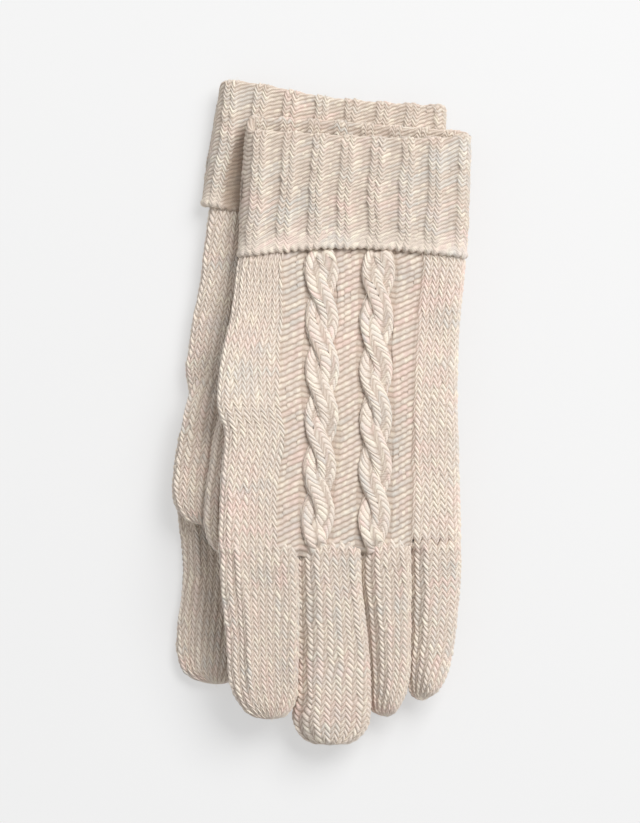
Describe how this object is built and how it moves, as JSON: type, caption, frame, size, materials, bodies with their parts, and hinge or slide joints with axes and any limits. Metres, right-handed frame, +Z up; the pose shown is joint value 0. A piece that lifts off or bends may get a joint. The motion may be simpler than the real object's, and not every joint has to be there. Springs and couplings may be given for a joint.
{
  "type": "knitted gloves",
  "caption": "Pair of full-fingered knitted gloves with turned-back ribbed cuffs and cables on the back, laid flat one on the other, thumbs tucked between the palms.",
  "frame": {"origin": "middle of the pair's footprint, on the surface it lies on", "axes": "+Y towards the cuffs and -Y towards the fingertips, +X towards the little fingers with both thumbs on the -X side, +Z up out of the surface, through the back of the left-hand glove"},
  "size_m": [0.117, 0.2602, 0.0336],
  "materials": {
    "stockinette_knit": "soft heathered wool-blend yarn knitted in stockinette, matt and slightly fuzzy",
    "rib_knit": "the same yarn in two-by-two rib, dense and stretchy, matt",
    "cable_knit": "the same yarn in six-stitch cables raised from a purl ground, matt"
  },
  "bodies": {
    "right_glove": {"right_hand": "stockinette_knit", "right_cuff_band": "rib_knit", "right_cuff_turnback": "rib_knit", "right_cable_thumb_side": "cable_knit", "right_cable_little_side": "cable_knit"},
    "left_glove": {"left_hand": "stockinette_knit", "left_cuff_band": "rib_knit", "left_cuff_turnback": "rib_knit", "left_cable_thumb_side": "cable_knit", "left_cable_little_side": "cable_knit"},
    "left_thumb": {"left_thumb": "stockinette_knit"},
    "left_index_finger": {"left_index_finger": "stockinette_knit"},
    "left_middle_finger": {"left_middle_finger": "stockinette_knit"},
    "left_ring_finger": {"left_ring_finger": "stockinette_knit"},
    "left_little_finger": {"left_little_finger": "stockinette_knit"},
    "right_thumb": {"right_thumb": "stockinette_knit"},
    "right_index_finger": {"right_index_finger": "stockinette_knit"},
    "right_middle_finger": {"right_middle_finger": "stockinette_knit"},
    "right_ring_finger": {"right_ring_finger": "stockinette_knit"},
    "right_little_finger": {"right_little_finger": "stockinette_knit"}
  },
  "joints": [
    {"name": "left_glove_lift", "type": "slide", "parent": "right_glove", "child": "left_glove", "axis": [0, 0, 1], "range_m": [0, 0.06]},
    {"name": "left_index_fold", "type": "hinge", "parent": "left_glove", "child": "left_index_finger", "pos_m": [-0.02485, -0.05361, 0.02789], "axis": [-0.9903, 0, 0.1392], "range_deg": [0, 85]},
    {"name": "left_middle_fold", "type": "hinge", "parent": "left_glove", "child": "left_middle_finger", "pos_m": [0.00277, -0.05361, 0.024], "axis": [-0.9903, 0, 0.1392], "range_deg": [0, 85]},
    {"name": "left_ring_fold", "type": "hinge", "parent": "left_glove", "child": "left_ring_finger", "pos_m": [0.02456, -0.05361, 0.02094], "axis": [-0.9903, 0, 0.1392], "range_deg": [0, 85]},
    {"name": "left_little_fold", "type": "hinge", "parent": "left_glove", "child": "left_little_finger", "pos_m": [0.04446, -0.05361, 0.01814], "axis": [-0.9903, 0, 0.1392], "range_deg": [0, 85]},
    {"name": "left_thumb_swing", "type": "hinge", "parent": "left_glove", "child": "left_thumb", "pos_m": [-0.0377, -0.00251, 0.01955], "axis": [0, 0, -1], "range_deg": [0, 45]},
    {"name": "right_thumb_swing", "type": "hinge", "parent": "right_glove", "child": "right_thumb", "pos_m": [-0.04829, 0.01056, 0.01265], "axis": [0, 0, -1], "range_deg": [0, 45]},
    {"name": "right_index_spread", "type": "hinge", "parent": "right_glove", "child": "right_index_finger", "pos_m": [-0.05782, -0.03354, 0.0036], "axis": [0, 0, -1], "range_deg": [0, 12]},
    {"name": "right_middle_spread", "type": "hinge", "parent": "right_glove", "child": "right_middle_finger", "pos_m": [-0.0269, -0.03502, 0.0036], "axis": [0, 0, -1], "range_deg": [0, 4]},
    {"name": "right_ring_spread", "type": "hinge", "parent": "right_glove", "child": "right_ring_finger", "pos_m": [0.01635, -0.0371, 0.0036], "axis": [0, 0, 1], "range_deg": [0, 4]},
    {"name": "right_little_spread", "type": "hinge", "parent": "right_glove", "child": "right_little_finger", "pos_m": [0.03658, -0.03807, 0.0036], "axis": [0, 0, 1], "range_deg": [0, 12]}
  ],
  "couplings": [
    {"joint": "right_middle_spread", "follows": "right_index_spread", "ratio": 0.33333},
    {"joint": "right_ring_spread", "follows": "right_index_spread", "ratio": 0.33333},
    {"joint": "right_little_spread", "follows": "right_index_spread", "ratio": 1}
  ]
}
